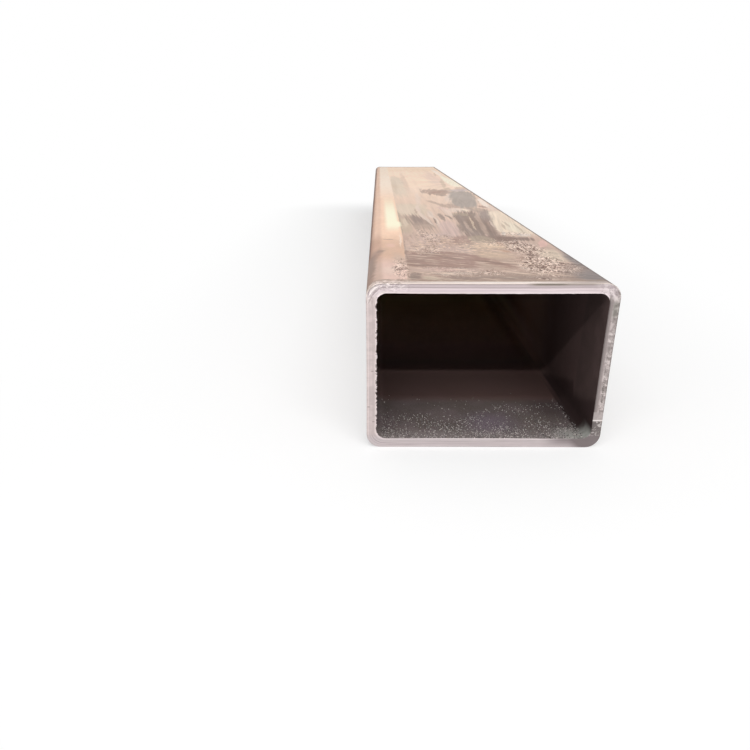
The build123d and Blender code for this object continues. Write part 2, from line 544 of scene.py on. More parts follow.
# Marks on the open top, from the far end to the near one. Later ones lie over earlier ones.
TOP_MARKS = {
    # the far half, where the bloom is even
    "honey bloom": Mark((190, 2540), (190, 2860), 140, HONEY, 0.5, square=4, soft=0.6),
    "rosy run": Mark((252, 1650), (262, 2500), 34, ROSE, 0.45, soft=0.6),
    "beige run": Mark((90, 1250), (88, 2180), 25, KHAKI, 0.95, square=4, soft=0.3, ragged=0.2),
    "beige core": Mark((120, 1450), (124, 2380), 11, FAWN, 0.45, soft=0.5, ragged=0.2),
    "beige left": Mark((74, 1330), (78, 1950), 9, SAND, 0.5, soft=0.5, ragged=0.2),
    "rim streak": Mark((290, 2460), (276, 2180), 5, SAND, 0.6, soft=0.5),
    "khaki streak": Mark((284, 2000), (252, 1500), 8, SAND, 0.7, soft=0.4),
    "rim bloom": Mark((312, 1580), (303, 2200), 21, STRAW, 1.0, 0.3, soft=0.3, ragged=0.3),
    "rim white": Mark((306, 2230), (300, 2720), 11, CHALK, 0.75, soft=0.5, ragged=0.3),
    "rim patch": Mark((312, 1600), (304, 1460), 20, FAWN, 0.7, ragged=0.6),
    "khaki haze": Mark((262, 1310), (262, 1570), 13, SAND, 0.8, soft=0.4),
    "pale feather": Mark((146, 1360), (128, 950), 8, SHELL, 0.8, soft=0.5),
    # where the skin lifted, and the slab of bluish scale beside it
    "lift": Mark((168, 1385), (262, 1400), 104, TAN, 1.0, 0.0, 4, 0.25, 0.9),
    "lift lobe": Mark((196, 1310), (232, 1320), 70, TAN, 0.9, soft=0.2),
    "lift core": Mark((200, 1400), (232, 1380), 50, MAUVE, 0.5, soft=0.4),
    "pale gap": Mark((220, 1060), (256, 1340), 15, SHELL, 0.9, soft=0.4),
    "blot": Mark((166, 1110), (184, 1010), 10, TAN, 0.7, soft=0.4),
    "slab": Mark((250, 900), (300, 1430), 38, SLATE, 1.0, square=4, soft=0.22, ragged=0.3),
    "slab head": Mark((276, 1480), (330, 1440), 50, ASH, 0.8, square=3, soft=0.3),
    "slab tail": Mark((292, 965), (316, 950), 15, FAWN, 0.8, soft=0.4, ragged=0.5),
    "slab left": Mark((212, 985), (222, 940), 13, SHELL, 0.5, soft=0.5, ragged=0.5),
    "slab wing": Mark((186, 1030), (210, 890), 11, TAN, 0.8, soft=0.35),
    "slab fringe": Mark((214, 1010), (232, 900), 13, TAN, 0.8, soft=0.35),
    "white wedge": Mark((322, 1170), (314, 900), 9, CHALK, 0.8, ragged=0.3),
    "right wing": Mark((296, 960), (312, 900), 9, MAUVE, 0.8, 0.3),
    "neck": Mark((262, 930), (296, 780), 24, CLAY, 0.7, soft=0.4),
    "neck light": Mark((268, 930), (278, 860), 8, SAND, 0.5, soft=0.4),
    "lens": Mark((192, 870), (250, 850), 42, SHELL, 0.9, soft=0.3),
    "lens rosy": Mark((182, 940), (196, 850), 12, ROSE, 0.7, soft=0.3),
    "lens glint": Mark((240, 890), (246, 820), 6, CREAM, 0.9),
    # the khaki stretch beside the sheltered strip
    "khaki field": Mark((102, 745), (104, 1010), 42, KHAKI, 0.9, square=4, soft=0.3, ragged=0.3),
    "khaki foot": Mark((76, 470), (76, 765), 15, SAND, 0.9, square=4, soft=0.3),
    "khaki shadow": Mark((68, 700), (88, 735), 40, FAWN, 0.7, soft=0.4),
    "khaki light": Mark((77, 550), (79, 690), 6, KHAKI, 0.8, soft=0.4),
    "khaki edge": Mark((65, 490), (65, 830), 3, OLIVE, 0.7, soft=0.4, ragged=0.3),
    "khaki line": Mark((112, 885), (113, 780), 3, FAWN, 0.9, ragged=0.3),
    # the wedge and the feathers dragged off it
    "wedge": Mark((100, 755), (116, 525), 21, CLAY, 0.85, square=3, soft=0.35, ragged=1.1),
    "wedge side": Mark((126, 700), (134, 540), 8, CLAY, 0.8, soft=0.4),
    "wedge core": Mark((107, 735), (112, 615), 11, TAUPE, 0.9, soft=0.35, ragged=1.0),
    "wedge foot": Mark((90, 560), (140, 540), 40, FAWN, 0.6, soft=0.4, ragged=0.7),
    "feather one": Mark((125, 990), (119, 800), 5, SHELL, 0.9, ragged=0.2),
    "feather one end": Mark((118, 830), (139, 560), 5, SHELL, 0.9, 0.3, ragged=0.25),
    "feather two": Mark((148, 850), (145, 700), 8, SHELL, 1.0, ragged=0.3),
    "feather two end": Mark((153, 720), (149, 550), 4, SHELL, 0.9, ragged=0.25),
    "rosy patch": Mark((162, 400), (172, 660), 20, ROSE, 0.9, soft=0.3, ragged=0.3),
    "rosy light": Mark((190, 910), (196, 730), 9, SHELL, 0.7, soft=0.4),
    "barb one": Mark((148, 700), (147, 600), 2.5, UMBER, 0.8, ragged=0.2),
    "barb two": Mark((170, 790), (168, 630), 6, CLAY, 0.95, 0.4, ragged=0.25),
    "barb two core": Mark((171, 760), (170, 690), 3, TAUPE, 0.9, ragged=0.2),
    "barb three": Mark((182, 760), (189, 670), 4, CLAY, 0.9, ragged=0.25),
    "rosy glint": Mark((143, 455), (158, 440), 26, ROSE, 0.8, ragged=0.6),
    # the strands
    "strand block": Mark((238, 812), (221, 398), 34, DRAB, 1.0, square=4, soft=0.2, ragged=0.6),
    "strand olive": Mark((206, 762), (244, 780), 30, OLIVE, 0.7, soft=0.4),
    "strand one": Mark((216, 770), (203, 470), 8, TAUPE, 0.95, ragged=0.25),
    "strand light": Mark((213, 650), (208, 430), 4, FAWN, 0.7, ragged=0.5),
    "strand two": Mark((246, 810), (222, 500), 5, UMBER, 0.9, ragged=0.25),
    "bright streak": Mark((238, 730), (226, 560), 2.6, SAND, 1.0, ragged=0.3),
    "bright streak two": Mark((229, 610), (222, 500), 2.5, SAND, 0.9, ragged=0.4),
    "bright streak three": Mark((252, 740), (246, 620), 2.5, FAWN, 0.8, ragged=0.4),
    "strand pale": Mark((252, 680), (236, 430), 6, TAN, 0.8, -0.2, ragged=0.3),
    "strand foot": Mark((214, 470), (212, 400), 14, TAUPE, 0.7, soft=0.4),
    # the cream fan beside them
    "fan": Mark((300, 428), (322, 840), 42, CREAM, 1.0, 0.1, 4, 0.15, 0.3),
    "fan khaki": Mark((302, 470), (308, 620), 15, STRAW, 0.5, soft=0.5),
    "fan rosy": Mark((318, 860), (322, 960), 12, SHELL, 0.8, soft=0.4),
    "fan streak one": Mark((290, 600), (284, 500), 3, SAND, 0.8, ragged=0.3),
    "fan streak two": Mark((304, 640), (298, 540), 3, SAND, 0.7, ragged=0.3),
    "fan streak three": Mark((318, 590), (312, 470), 3, SAND, 0.7, ragged=0.3),
    "strand three": Mark((289, 850), (262, 600), 11, TAUPE, 0.95, square=3, soft=0.35, ragged=0.7),
    "strand three low": Mark((266, 660), (247, 405), 10, UMBER, 0.8, -0.2, 3, 0.35, 0.4),
    "strand four": Mark((262, 800), (250, 640), 4, TAN, 0.9, soft=0.4, ragged=0.3),
    "fan white": Mark((274, 660), (264, 540), 3, SHELL, 0.7, ragged=0.3),
    "fan glint": Mark((276, 480), (266, 428), 5, CHALK, 0.9, ragged=0.8),
    "fan glint low": Mark((288, 448), (322, 428), 14, CHALK, 0.8, ragged=1.4),
    # the dark bar below the fan
    "bar": Mark((240, 392), (312, 380), 28, UMBER, 1.0, 0.3, 3, 0.4, 1.0),
    "bar head": Mark((236, 430), (238, 350), 38, UMBER, 0.95, square=3, soft=0.35, ragged=0.7),
    "bar core": Mark((240, 384), (282, 378), 26, SEPIA, 0.5, soft=0.4, ragged=0.8),
    "bar light": Mark((262, 410), (300, 400), 6, FAWN, 0.8, ragged=1.0),
    "thumb": Mark((155, 372), (196, 366), 56, MAUVE, 0.9, square=3, soft=0.3),
    "thumb olive": Mark((190, 378), (234, 378), 44, OLIVE, 0.8, square=3, soft=0.3),
    "thumb light": Mark((206, 350), (210, 330), 6, SAND, 0.7),
    # the near stretch, where water ran across
    "near rosy": Mark((150, 300), (158, 240), 22, ROSE, 0.6, soft=0.4),
    "peach flow": Mark((168, 306), (250, 300), 42, FAWN, 0.8, square=3, soft=0.3, ragged=0.6),
    "cream flow": Mark((186, 300), (226, 296), 24, HONEY, 0.7, soft=0.3, ragged=0.6),
    "flow light": Mark((212, 318), (258, 286), 17, HONEY, 0.9, soft=0.4, ragged=0.9),
    "cream dash": Mark((196, 326), (238, 330), 7, HONEY, 0.8, ragged=0.8),
    "cream dash low": Mark((180, 268), (226, 262), 6, HONEY, 0.6, ragged=0.8),
    "tan flow": Mark((200, 95), (208, 262), 34, FAWN, 0.75, square=3, soft=0.3),
    "tan light": Mark((180, 240), (236, 196), 26, HONEY, 0.55, soft=0.5, ragged=0.9),
    "orange line": Mark((238, 350), (242, 300), 6, RUST, 0.8, ragged=0.8),
    "orange flow": Mark((226, 268), (244, 240), 7, RUST, 0.7, ragged=0.8),
    "rust ground": Mark((256, 352), (286, 215), 26, FAWN, 0.8, ragged=0.7),
    "rust foot": Mark((284, 220), (252, 66), 26, TAN, 0.8, ragged=0.7),
    "blotch": Mark((266, 226), (282, 212), 9, UMBER, 0.9, ragged=0.9),
    "cream rim": Mark((310, 262), (303, 156), 20, CREAM, 0.9, soft=0.4, ragged=0.6),
    "rim light": Mark((318, 262), (308, 190), 6, KHAKI, 0.8, ragged=0.6),
    "pink spot": Mark((308, 292), (328, 366), 8, BLUSH, 0.95),
    "mauve field": Mark((60, 182), (178, 168), 68, MAUVE, 0.95, square=5, soft=0.12, ragged=0.35),
    "mauve side": Mark((66, 256), (90, 222), 17, MAUVE, 0.9, soft=0.4, ragged=0.7),
    "mauve tail": Mark((168, 212), (222, 108), 16, MAUVE, 0.8, soft=0.3, ragged=0.6),
    "mauve core": Mark((64, 196), (104, 180), 42, TAUPE, 0.25, soft=0.4, ragged=0.8),
    "mauve line one": Mark((84, 240), (124, 216), 7, UMBER, 0.7, ragged=0.6),
    "mauve line two": Mark((116, 200), (150, 172), 5, UMBER, 0.6, ragged=0.6),
    "mauve line three": Mark((180, 170), (214, 136), 5, UMBER, 0.6, ragged=0.6),
    "mauve line four": Mark((64, 132), (110, 122), 5, UMBER, 0.6, ragged=0.6),
    "mauve light": Mark((92, 166), (112, 160), 12, FAWN, 0.5, ragged=0.7),
    "mauve light two": Mark((104, 238), (122, 250), 8, ROSE, 0.5, ragged=0.7),
    "front rosy": Mark((66, 96), (160, 84), 14, ROSE, 0.4, square=3, soft=0.4, ragged=0.9),
    "front ground": Mark((80, 50), (330, 46), 30, TAN, 0.7, square=6, soft=0.3, ragged=0.6),
    "front dark": Mark((82, 38), (292, 36), 8, TAUPE, 0.6, square=4, soft=0.4, ragged=0.8),
    "cream patch": Mark((80, 34), (104, 34), 12, KHAKI, 0.85, square=3),
    "front blush": Mark((94, 94), (140, 88), 11, BLUSH, 0.4, soft=0.5, ragged=1.0),
    "front pale": Mark((238, 112), (250, 98), 10, SHELL, 0.8, soft=0.5, ragged=1.0),
    "front shell": Mark((104, 68), (152, 66), 9, SHELL, 0.6, soft=0.5, ragged=1.2),
    "front brown": Mark((160, 62), (250, 58), 14, TAN, 0.6, soft=0.5, ragged=1.2),
    "grey block": Mark((70, 66), (70, 18), 8, TAUPE, 0.85, square=3, ragged=0.3),
    "grey rim": Mark((338, 260), (330, 10), 15, STEEL, 1.0, soft=0.5),
    "grey corner": Mark((324, 130), (304, 10), 26, TAUPE, 0.8, soft=0.5),
    "corner low": Mark((330, 90), (318, 5), 22, STEEL, 0.9, soft=0.5),
    "edge line": Mark((64, 130), (65, 430), 2.2, UMBER, 0.5, soft=0.4, ragged=0.4),
}

# Where streaks of lifted bloom and short pale dashes gather
STREAKED = Mark((108, 262), (110, 440), 46, None, 1.0, square=3, soft=0.5, ragged=0.6)
DASHED = Mark((70, 318), (232, 300), 75, None, 1.0, square=4, soft=0.4, ragged=1.0)

# Where flecks of lifted scale gather. The strength says how thick they lie.
FLECK_FIELDS = {
    "rust ground": Mark((262, 356), (284, 222), 28, None, 1.0, soft=0.5, ragged=1.3),
    "rust foot": Mark((284, 226), (262, 54), 28, None, 1.0, soft=0.5, ragged=1.3),
    "rust fringe": Mark((306, 150), (284, 50), 22, None, 0.55, soft=0.5, ragged=1.3),
    "left ground": Mark((76, 270), (132, 262), 42, None, 0.4, soft=0.5, ragged=0.9),
    "left field": Mark((104, 500), (122, 340), 18, None, 0.6, soft=0.5, ragged=0.9),
    "strip": Mark((50, 175), (52, 24), 11, None, 0.75, soft=0.4, ragged=0.9),
    "front": Mark((70, 62), (215, 76), 22, None, 0.22, soft=0.6, ragged=1.2),
    "front middle": Mark((170, 72), (200, 66), 18, None, 0.6, soft=0.4, ragged=0.8),
    "front left": Mark((84, 106), (150, 92), 14, None, 0.25, soft=0.6, ragged=1.2),
    "peach field": Mark((212, 330), (248, 322), 24, None, 0.6, soft=0.5, ragged=0.9),
    "fan foot": Mark((270, 470), (318, 432), 24, None, 0.7, soft=0.5, ragged=0.9),
    "far rosy": Mark((140, 440), (150, 400), 14, None, 0.6, soft=0.5, ragged=0.9),
}

# Marks on the strip that a neighbour sheltered, and on the corner beside it
STRIP_MARKS = {
    "corner crease": Mark((2, 160), (22, 268), 9, UMBER, 0.6, soft=0.5, ragged=0.9),
    "crease line": Mark((14, 236), (28, 262), 5, UMBER, 0.5, soft=0.4, ragged=0.9),
    "corner shade": Mark((3, 10), (5, 235), 9, UMBER, 1.0, soft=0.5, ragged=0.6),
    "corner touch": Mark((22, 376), (48, 372), 5, MAUVE, 0.6, soft=0.4, ragged=0.8),
    "strip shade": Mark((50, 228), (52, 112), 10, FAWN, 0.7, soft=0.5, ragged=0.9),
    "pink touch": Mark((38, 292), (40, 330), 9, BLUSH, 0.4, soft=0.5),
    "rosy foot": Mark((24, 95), (52, 88), 26, SHELL, 0.4, soft=0.6, ragged=0.8),
    "strip line": Mark((59, 300), (60, 440), 1.6, CHALK, 0.5, soft=0.5, ragged=0.4),
}


def mark_tree():
    """How much a mark covers a place: 1 in its middle, 0 outside, with a ragged rim between."""
    bench, given = open_tree("mark_cover", "ShaderNodeTree", {
        "Place": ("NodeSocketVector", None), "Rough": ("NodeSocketFloat", 0.0),
        "Middle": ("NodeSocketVector", None), "Length Pull": ("NodeSocketVector", None),
        "Width Pull": ("NodeSocketVector", None), "Taper": ("NodeSocketFloat", 0.0),
        "Squareness": ("NodeSocketFloat", 2.0), "Softness": ("NodeSocketFloat", 0.2),
        "Ragged": ("NodeSocketFloat", 0.5),
    }, {"Cover": "NodeSocketFloat"})
    offset = bench.put("ShaderNodeVectorMath", given["Place"], given["Middle"], operation="SUBTRACT")
    lengthwise = bench.put("ShaderNodeVectorMath", offset, given["Length Pull"],
                           operation="DOT_PRODUCT", pick=1)
    sideways = bench.put("ShaderNodeVectorMath", offset, given["Width Pull"],
                         operation="DOT_PRODUCT", pick=1)
    sideways = sideways / (1.0 - lengthwise * given["Taper"])
    power = given["Squareness"]
    far = bench.math("POWER", bench.math("POWER", bench.size(lengthwise), power)
                     + bench.math("POWER", bench.size(sideways), power), 1.0 / power)
    far = far + given["Rough"] * given["Ragged"]
    cover = bench.fall(far, 1.0 - given["Softness"], 1.0 + given["Softness"])
    sink = bench.tree.nodes.new("NodeGroupOutput")
    bench.fill(sink.inputs[0], cover)
    return bench.tree


class Brush:
    """Lays marks on a surface whose places have been bent a little, as scale and rust wander."""

    def __init__(self, bench, across, along):
        self.bench = bench
        self.tree = mark_tree()
        slow = self.wander(across / 42.0, along / 100.0, 0.0)
        quick = self.wander(across / 8.0, along / 24.0, 5.0)
        self.place = bench.vector(across + slow[0] * 9.0 + quick[0] * 6.0,
                                  along + slow[1] * 26.0 + quick[1] * 14.0, 0.0)
        # strokes fan out along the length, but within the first stretch water ran across it
        self.near = bench.fall(along, 250.0, 380.0)
        fan = across - bench.straight(across, 100.0, 290.0, -0.04, 0.12) * (along - 650.0)
        self.strokes = bench.noise(bench.vector(fan / 6.0, along / 190.0, 0.0), 3.0, 0.55, 0.3)
        self.flow = bench.noise(bench.vector(across / 62.0, (along + across * 0.5) / 12.0, 3.0),
                                3.0, 0.6, 0.6)
        self.rough = ((self.strokes - 0.5) * (2.0 - self.near * 2.0)
                      + (self.flow - 0.5) * self.near * 2.0)

    def wander(self, x, y, z):
        """Two numbers between about -0.4 and 0.4 that drift from place to place."""
        drift = self.bench.put("ShaderNodeTexNoise", pick=1, inputs={
            "Vector": self.bench.vector(x, y, z), "Scale": 1.0, "Detail": 1.0})
        return [part - 0.5 for part in self.bench.parts(drift)[:2]]

    def cover(self, mark):
        """How much of a mark lies at each place, from 0 to its strength."""
        run = Vector(mark.end) - Vector(mark.start)
        middle = (Vector(mark.end) + Vector(mark.start)) / 2
        lengthwise = run.normalized() / (run.length / 2)
        sideways = Vector((-run.y, run.x)).normalized() / mark.half_width
        return mark.strength * self.bench.put("ShaderNodeGroup", node_tree=self.tree, inputs={
            "Place": self.place, "Rough": self.rough, "Middle": (*middle, 0.0),
            "Length Pull": (*lengthwise, 0.0), "Width Pull": (*sideways, 0.0), "Taper": mark.taper,
            "Squareness": mark.square, "Softness": mark.soft, "Ragged": mark.ragged})

    def paint(self, colour, marks):
        """The colour with the marks laid over it."""
        for mark in marks.values():
            colour = self.bench.mix(self.cover(mark), colour, tint(*mark.colour))
        return colour

    def gather(self, marks):
        """The strongest cover of any of the marks."""
        strongest = 0.0
        for mark in marks.values():
            strongest = self.bench.math("MAXIMUM", self.cover(mark), strongest)
        return strongest


def sheltered_strip(bench, across, along):
    """The strip along the left edge that a neighbour sheltered, and the corner beside it."""
    strip = bench.mix(bench.ramp(along, 300.0, 460.0), tint(220, 187, 163), tint(*PEACH))
    strip = bench.mix(bench.fall(along, 120.0, 220.0), strip, tint(229, 201, 189))
    strip = bench.mix(bench.ramp(along, 900.0, 1700.0), strip, tint(255, 240, 222))
    corner = bench.mix(bench.ramp(along, 120.0, 220.0), tint(206, 180, 166), tint(202, 168, 148))
    corner = bench.mix(bench.ramp(along, 330.0, 490.0), corner, tint(232, 200, 178))
    # the corner's outer edge is painted darker as the shadow of a neighbour lying against it; its darkest
    # line widens towards the far end
    corner = bench.mix(bench.ramp(across, 2.0, 13.0, 0.75, 0.0), corner, tint(170, 134, 114))
    neighbour_shadow_reach = across / bench.straight(along, 0.0, 3000.0, 1.0, 3.0)
    corner = bench.mix(bench.ramp(neighbour_shadow_reach, 1.6, 4.6, 0.85, 0.0), corner, tint(100, 72, 60))
    strip = bench.mix(bench.ramp(across, 18.0, 27.0), corner, strip)
    stir = bench.noise(bench.vector(across / 14.0, along / 46.0, 2.0), 3.0, 0.6, 0.6)
    # the strip is darker towards the near end, as painted shade
    return shade(bench, strip, bench.straight(stir, 0.3, 0.7, 0.95, 1.05),
                 bench.straight(along, 0.0, 600.0, 0.9, 1.0))


def weathered_top(bench, finish, across, along):
    """The top face's colour, and how far its strokes and flecks stand out."""
    brush = Brush(bench, across, along)
    near = brush.near
    runs = bench.noise(bench.vector(across / 13.0, along / 900.0, 7.0), 3.0, 0.55)
    # the top turns paler towards the far end, partly its own colour and partly painted light
    top = bench.mix(bench.straight(along, 250.0, 1900.0), tuple(finish.top_near), tuple(finish.top_far))
    top = brush.paint(top, TOP_MARKS)
    # streaks of lifted bloom run along the length where the strokes end
    streaks = bench.noise(bench.vector(across / 8.0, along / 110.0, 9.0), 2.0, 0.5, 0.4)
    streaked = brush.cover(STREAKED)
    top = bench.mix(bench.ramp(streaks, 0.52, 0.6) * streaked * 0.6, top, tint(*ROSE))
    top = bench.mix(bench.fall(streaks, 0.4, 0.48) * streaked * 0.5, top, tint(*MAUVE))
    calm = (bench.ramp(along, 700.0, 1100.0, 1.0, 0.5)
            * bench.ramp(across + bench.ramp(along, 420.0, 520.0, 60.0, 0.0), 120.0, 160.0, 0.45, 1.0))
    # the last two levels darken the near end and lighten the far end, as painted light
    top = shade(bench, top, bench.straight(runs, 0.3, 0.7, 0.96, 1.04),
                bench.straight(brush.rough * calm, -0.4, 0.4, 0.86, 1.14),
                bench.straight(along, 0.0, 900.0, 0.84, 1.0),
                bench.straight(along, 0.0, 1600.0, 0.88, 1.08))
    # tide lines, and short pale dashes between them
    ripple = bench.noise(bench.vector(across / 30.0, (along + across * 0.35) / 7.0, 8.0), 2.0, 0.6, 1.0)
    flowing = near * bench.ramp(across, 235.0, 285.0, 1.0, 0.3)
    thin_lines = (bench.between(brush.flow, 0.5, 0.512, 0.016) * 0.5
                  + bench.between(ripple, 0.4, 0.41, 0.014) * 0.3)
    top = bench.mix(thin_lines * flowing, top, tint(*SEPIA))
    pale_lines = bench.ramp(brush.flow, 0.58, 0.68) * 0.4 + bench.ramp(ripple, 0.6, 0.68) * 0.35
    top = bench.mix(pale_lines * flowing, top, tint(*CREAM))
    dashes = bench.noise(bench.vector(across / 10.0, along / 9.0, 2.0), 2.0, 0.5, 0.8)
    dashed = brush.cover(DASHED)
    top = bench.mix(bench.ramp(dashes, 0.57, 0.63) * dashed * 0.8, top, tint(*HONEY))
    top = bench.mix(bench.fall(dashes, 0.36, 0.42) * dashed * 0.5, top, tint(*UMBER))

    strip = sheltered_strip(bench, across, along)
    rim = bench.straight(along, 0.0, 400.0, 57.0, 64.5)
    wobble = bench.noise(bench.vector(across / 30.0, along / 60.0, 4.0), 2.0)
    top = bench.mix(bench.fall(across - rim + wobble * 3.0, 0.5, 3.0), top, strip)
    # a painted highlight runs along the strip
    shine_end = 60.0 + bench.between(along, 550.0, 630.0, 20.0) * 6.0
    shine = (bench.ramp(across, 28.0, 40.0) * bench.fall(across - shine_end, -4.0, 5.0)
             * bench.ramp(along, 450.0, 590.0) * bench.fall(along, 760.0, 1300.0))
    top = bench.mix(shine, top, tint(255, 255, 228))
    top = brush.paint(top, STRIP_MARKS)

    # flakes are pale on the side that the light strikes and dark on the other
    flakes = bench.noise(bench.vector((across - along * 0.1) / 6.2, along / 17.0, 1.0), 4.0, 0.74, 1.6)
    gathered = brush.gather(FLECK_FIELDS)
    dark = bench.fall(flakes, 0.44, 0.48) * gathered
    pale = bench.ramp(flakes, 0.53, 0.565) * gathered
    top = bench.mix(dark, top, tint(98, 70, 60))
    top = bench.mix(pale, top, tint(252, 234, 221))

    # the sawn edge is wiped pale, partly a painted highlight along the edge, with a dark line of grime
    # behind it
    waver = bench.noise(bench.vector(across / 16.0, along / 30.0, 6.0), 3.0, 0.6)
    behind = along + waver * 6.0
    grime = bench.between(behind, 17.0, 27.0, 3.5) * bench.ramp(waver, 0.3, 0.6, 0.9, 0.35)
    top = bench.mix(grime, top, tint(150, 134, 121))
    worn = bench.mix(bench.straight(across, 20.0, 150.0), tint(206, 194, 188), tint(236, 230, 226))
    worn = bench.mix(bench.straight(across, 230.0, 300.0), worn, tint(186, 176, 172))
    top = bench.mix(bench.ramp(behind, 13.0, 17.0, 0.9, 0.0), top, worn)
    # against its neighbour the sawn edge was bruised into short curled ridges
    curls = bench.noise(bench.vector(across / 9.0, behind / 3.4, 11.0), 2.0, 0.6, 1.6)
    bruised = bench.fall(across, 36.0, 80.0) * bench.fall(behind, 18.0, 30.0)
    top = bench.mix(bench.ramp(curls, 0.53, 0.6) * bruised * 0.9, top, tint(244, 234, 228))
    top = bench.mix(bench.fall(curls, 0.39, 0.47) * bruised * 0.8, top, tint(116, 96, 86))
    # the turn of the right corner is darkened as painted shade, and the far end's edge is darker
    right_rim = across - bench.straight(along, 0.0, 2200.0, 331.0, 325.0)
    top = bench.mix(bench.between(right_rim, 1.5, 11.0, 1.5) * 0.8, top, tint(96, 80, 77))
    far_rim = bench.ramp(along + (waver - 0.5) * 60.0, 2945.0, 2985.0, 0.0, 0.8)
    top = bench.mix(far_rim, top, tint(112, 99, 92))
    # rust warms all of it
    top = bench.mix(1.0, top, RUST_WARMTH, "MULTIPLY")
    return top, brush.rough * 0.6 + (pale - dark) * 0.8 + curls * bruised * 2.0


def mill_scale_finish(finish):
    """Rolled skin: pale rust bloom and bluish scale in lengthwise runs, with marks where it lifted."""
    material, bench, shader = new_finish("mill_scale", {"Specular IOR Level": 0.14})
    across, along, up = tube_place(bench)
    runs = bench.noise(bench.vector(across / 9.0, along / 420.0, up / 9.0), 3.0, 0.6)
    clouds = bench.noise(bench.vector(across / 110.0, along / 260.0, up / 110.0), 4.0, 0.6, 0.4)
    blooms = bench.noise(bench.vector(across / 30.0, along / 62.0, up / 30.0), 5.0, 0.68, 0.6)
    grain = bench.noise(bench.vector(across / 1.8, along / 5.0, up / 1.8), 2.0, 0.6)
    # the plain skin of the sides and the bottom
    skin = bench.mix(bench.ramp(clouds, 0.34, 0.66), tuple(finish.scale_dark), tuple(finish.scale_mid))
    skin = bench.mix(bench.ramp(runs, 0.52, 0.78) * 0.45, skin, tuple(finish.scale_pale))
    skin = bench.mix(bench.ramp(blooms, 0.56, 0.72) * 0.6, skin, tuple(finish.scale_rust))
    # rain carried a thin rust wash from the top down the sides
    reached = up + (runs - 0.5) * 90.0 + (blooms - 0.5) * 130.0
    skin = bench.mix(bench.ramp(reached, 40.0, 225.0, 0.1, 0.8), skin, tint(186, 160, 144))
    # the top lay open to the weather
    top, relief = weathered_top(bench, finish, across, along)
    turn = up - bench.ramp(across, 100.0, 250.0, 0.0, 13.0)
    colour = bench.mix(bench.ramp(turn, 222.0, 234.0), skin, top)
    colour = shade(bench, colour, bench.straight(grain, 0.3, 0.7, 0.975, 1.025))
    bench.fill(shader.inputs["Base Color"], colour)
    bench.fill(shader.inputs["Roughness"], bench.straight(clouds, 0.3, 0.7, 0.46, 0.62))
    bump = bench.put("ShaderNodeBump", inputs={
        "Strength": 0.35, "Distance": 0.3 * MM, "Height": grain * 0.25 + relief})
    bench.fill(shader.inputs["Normal"], bump)
    return material


def own_value(bench, name):
    """A value that the piece's own mesh carries."""
    return bench.put("ShaderNodeAttribute", attribute_name=name, pick=2)


# Short scores in the wall that the saw met first, in millimetres across and up
SCORES = ((9.0, 122.0), (3.5, 66.0), (10.5, 42.0))


